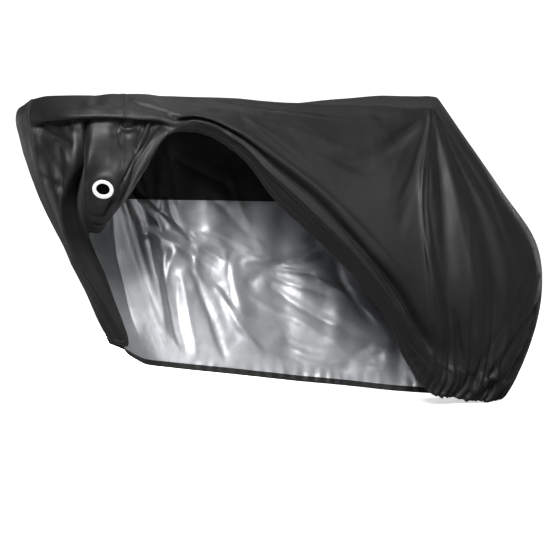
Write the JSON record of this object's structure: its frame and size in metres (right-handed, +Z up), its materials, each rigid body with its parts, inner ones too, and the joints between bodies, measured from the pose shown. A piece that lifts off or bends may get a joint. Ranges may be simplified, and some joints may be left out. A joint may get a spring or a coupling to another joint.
{
  "type": "fitted bicycle cover",
  "caption": "Thin woven cover drawn over a pair of cycles, its near side pulled up in a long diagonal, with one lock eyelet and a gathered rear hem.",
  "frame": {"origin": "the point under the top cloth, near its rear end and middle, where the cover is held up; the cloth is about 10 mm above it", "axes": "+X along the cover to its rear, +Y to its far side, away from the raised side, +Z up"},
  "size_m": [1.9936, 0.6873, 1.177],
  "materials": {
    "body_cloth": "smooth black coated cloth, silver coated inside",
    "front_cloth": "smooth black coated cloth, silver coated inside",
    "strip_cloth": "smooth black coated cloth, silver coated inside",
    "eyelet": "bright satin metal"
  },
  "bodies": {
    "root": {"body_panel": "body_cloth", "front_panel": "front_cloth", "front_strip": "strip_cloth", "eyelet_ring": "eyelet"}
  },
  "joints": []
}
